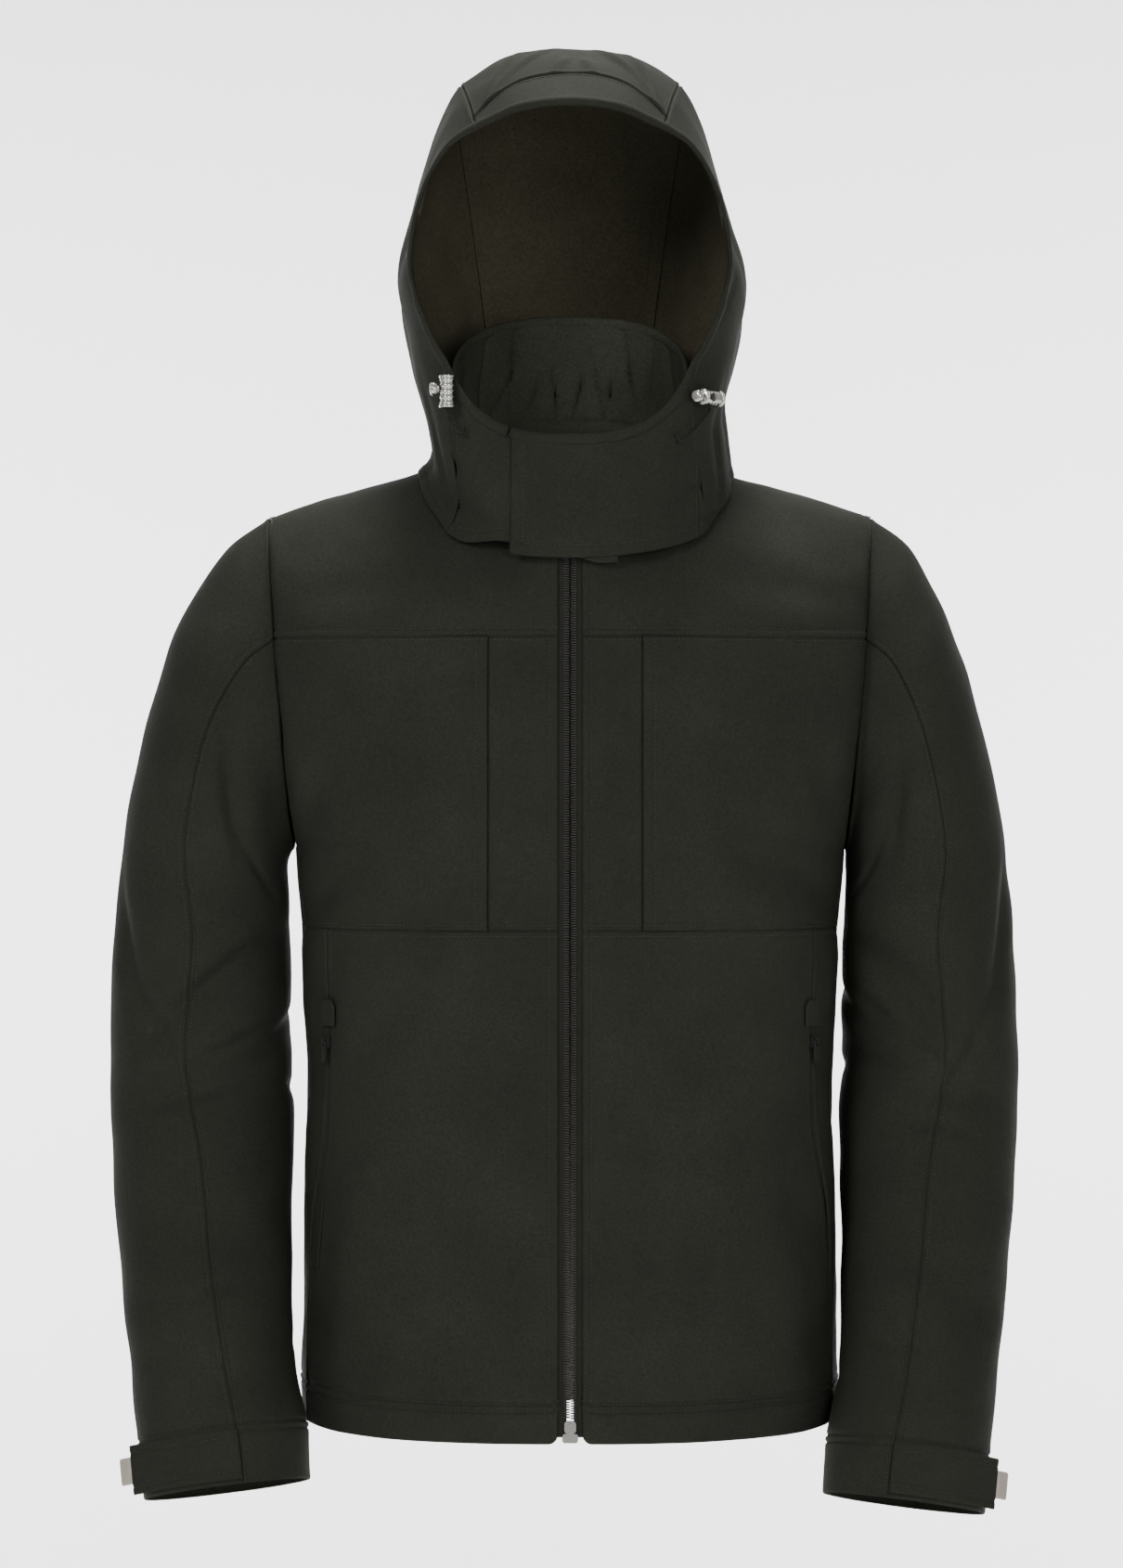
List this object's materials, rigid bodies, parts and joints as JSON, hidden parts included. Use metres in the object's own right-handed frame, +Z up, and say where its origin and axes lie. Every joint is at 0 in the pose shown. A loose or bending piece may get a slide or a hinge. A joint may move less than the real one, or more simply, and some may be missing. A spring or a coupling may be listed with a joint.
{
  "type": "hooded softshell jacket",
  "caption": "Men's hooded softshell jacket, filled out as worn, with a full front zip, chin flap, side pockets with hinged pulls and open neck, hem and cuffs.",
  "frame": {"origin": "middle of the neck at the height of the shoulder line, where a wearer's neck base is", "axes": "+Z up from hem to hood, +X towards the wearer's left, the front with the zip faces -Y"},
  "size_m": [0.688, 0.2949, 1.0979],
  "materials": {
    "softshell": "matt",
    "softshell_top": "matt",
    "inner_cloth": "matt",
    "zip_tape": "matt",
    "black_nylon": "satin",
    "grey_rubber": "matt",
    "silver_metal": "satin"
  },
  "bodies": {
    "jacket": {"yoke_left": "softshell_top", "yoke_right": "softshell_top", "chest_inner_left": "softshell", "chest_inner_right": "softshell", "chest_outer_left": "softshell", "chest_outer_right": "softshell", "front_lower_left": "softshell", "front_lower_right": "softshell", "side_panel_left": "softshell", "side_panel_right": "softshell", "back": "softshell", "sleeve_upper_left": "softshell", "sleeve_upper_right": "softshell", "sleeve_under_left": "softshell", "sleeve_under_right": "softshell", "cuff_tab_left": "softshell", "cuff_tab_right": "softshell", "cuff_grip_left": "grey_rubber", "cuff_grip_right": "grey_rubber", "hood_side_left": "softshell", "hood_side_right": "softshell", "hood_centre": "softshell_top", "hood_brim": "softshell_top", "hood_rim": "softshell", "chin_guard": "softshell", "chin_flap": "softshell", "collar": "inner_cloth", "collar_roll": "inner_cloth", "zip_tape_left": "zip_tape", "zip_tape_right": "zip_tape", "zip_coil_left": "black_nylon", "zip_coil_right": "black_nylon", "zip_slider": "silver_metal", "zip_box": "silver_metal", "pocket_zip_left": "zip_tape", "pocket_zip_right": "zip_tape", "pocket_garage_left": "softshell", "pocket_garage_right": "softshell", "pocket_slider_left": "black_nylon", "pocket_slider_right": "black_nylon", "cord_lock_left": "silver_metal", "cord_lock_right": "silver_metal", "lock_button_left": "black_nylon", "lock_button_right": "black_nylon", "toggle_cord_left": "black_nylon", "toggle_cord_right": "black_nylon"},
    "pull_left": {"pocket_pull_left": "black_nylon"},
    "pull_right": {"pocket_pull_right": "black_nylon"}
  },
  "joints": [
    {"name": "pull_left_hinge", "type": "hinge", "parent": "jacket", "child": "pull_left", "pos_m": [0.18215, -0.06691, -0.428], "axis": [-0.5925, -0.8056, 0], "range_deg": [0, 100]},
    {"name": "pull_right_hinge", "type": "hinge", "parent": "jacket", "child": "pull_right", "pos_m": [-0.18215, -0.06691, -0.428], "axis": [-0.5925, 0.8056, 0], "range_deg": [0, 100]}
  ]
}
